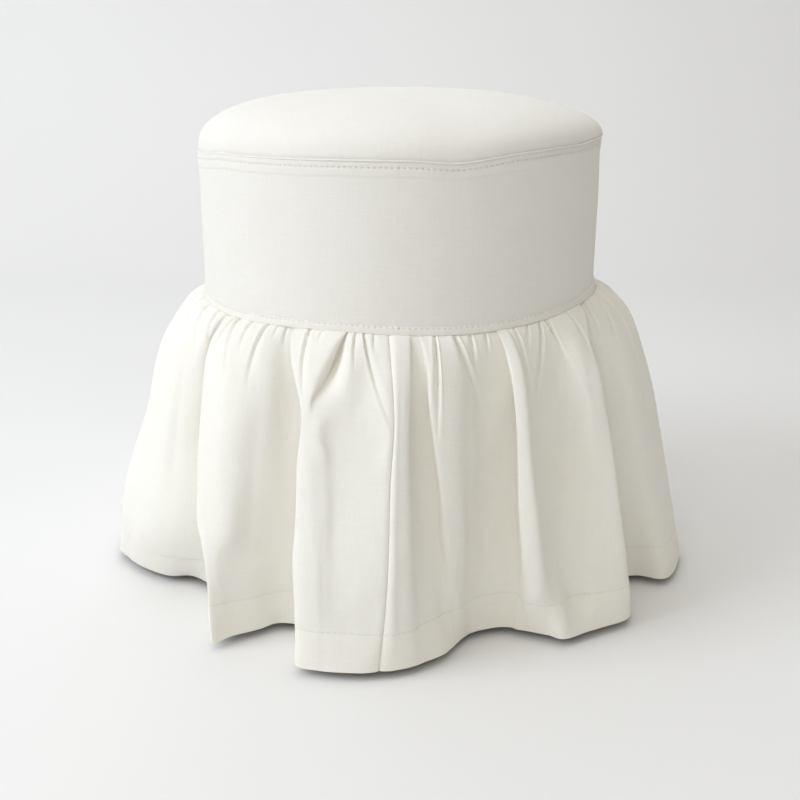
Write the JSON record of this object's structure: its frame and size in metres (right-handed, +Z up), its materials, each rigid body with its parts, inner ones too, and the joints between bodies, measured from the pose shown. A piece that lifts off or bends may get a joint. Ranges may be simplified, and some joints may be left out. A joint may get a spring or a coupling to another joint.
{
  "type": "round footstool",
  "caption": "Round padded footstool: a drum seat with a domed crown on four turned legs, in a sewn cloth cover with a full gathered skirt that hides the legs.",
  "frame": {"origin": "on the floor, on the axis of the drum, midway between the four glides", "axes": "+Z up along the axis of the drum, -Y towards the front, where the skirt's front seam hangs, and +X to the right as seen from the front"},
  "size_m": [0.5512, 0.5272, 0.44],
  "materials": {
    "cover_cloth": "plain-woven off-white cotton and linen canvas",
    "skirt_cloth": "plain-woven ivory cotton and linen canvas, gathered",
    "calico": "unbleached calico",
    "wadding": "soft polyester wadding",
    "foam": "open-cell upholstery foam",
    "dust_cloth": "black spun-bonded dust cloth",
    "leg_wood": "turned beech, clear satin",
    "birch_ply": "raw birch plywood",
    "pine": "raw planed pine",
    "plated_steel": "bright zinc plate",
    "yellow_zinc_steel": "yellow zinc plate",
    "glide_nylon": "moulded nylon"
  },
  "bodies": {
    "root": {"leg_front_left": "leg_wood", "leg_front_right": "leg_wood", "leg_back_left": "leg_wood", "leg_back_right": "leg_wood", "leg_glides": "glide_nylon", "hanger_bolts": "plated_steel", "tee_nuts": "plated_steel", "base_board": "birch_ply", "seat_board": "birch_ply", "post_front": "pine", "post_right": "pine", "post_back": "pine", "post_left": "pine", "drum_wall": "birch_ply", "wall_pins": "plated_steel", "seat_board_screws": "yellow_zinc_steel", "base_board_screws": "yellow_zinc_steel", "side_foam": "foam", "seat_foam": "foam", "wadding": "wadding", "calico_cover": "calico", "crown_panel": "cover_cloth", "crown_piping": "cover_cloth", "side_band": "cover_cloth", "waist_band": "cover_cloth", "waist_facing": "cover_cloth", "skirt_panel_right": "skirt_cloth", "skirt_panel_left": "skirt_cloth", "dust_cover": "dust_cloth", "cover_tacks": "plated_steel"}
  },
  "joints": []
}
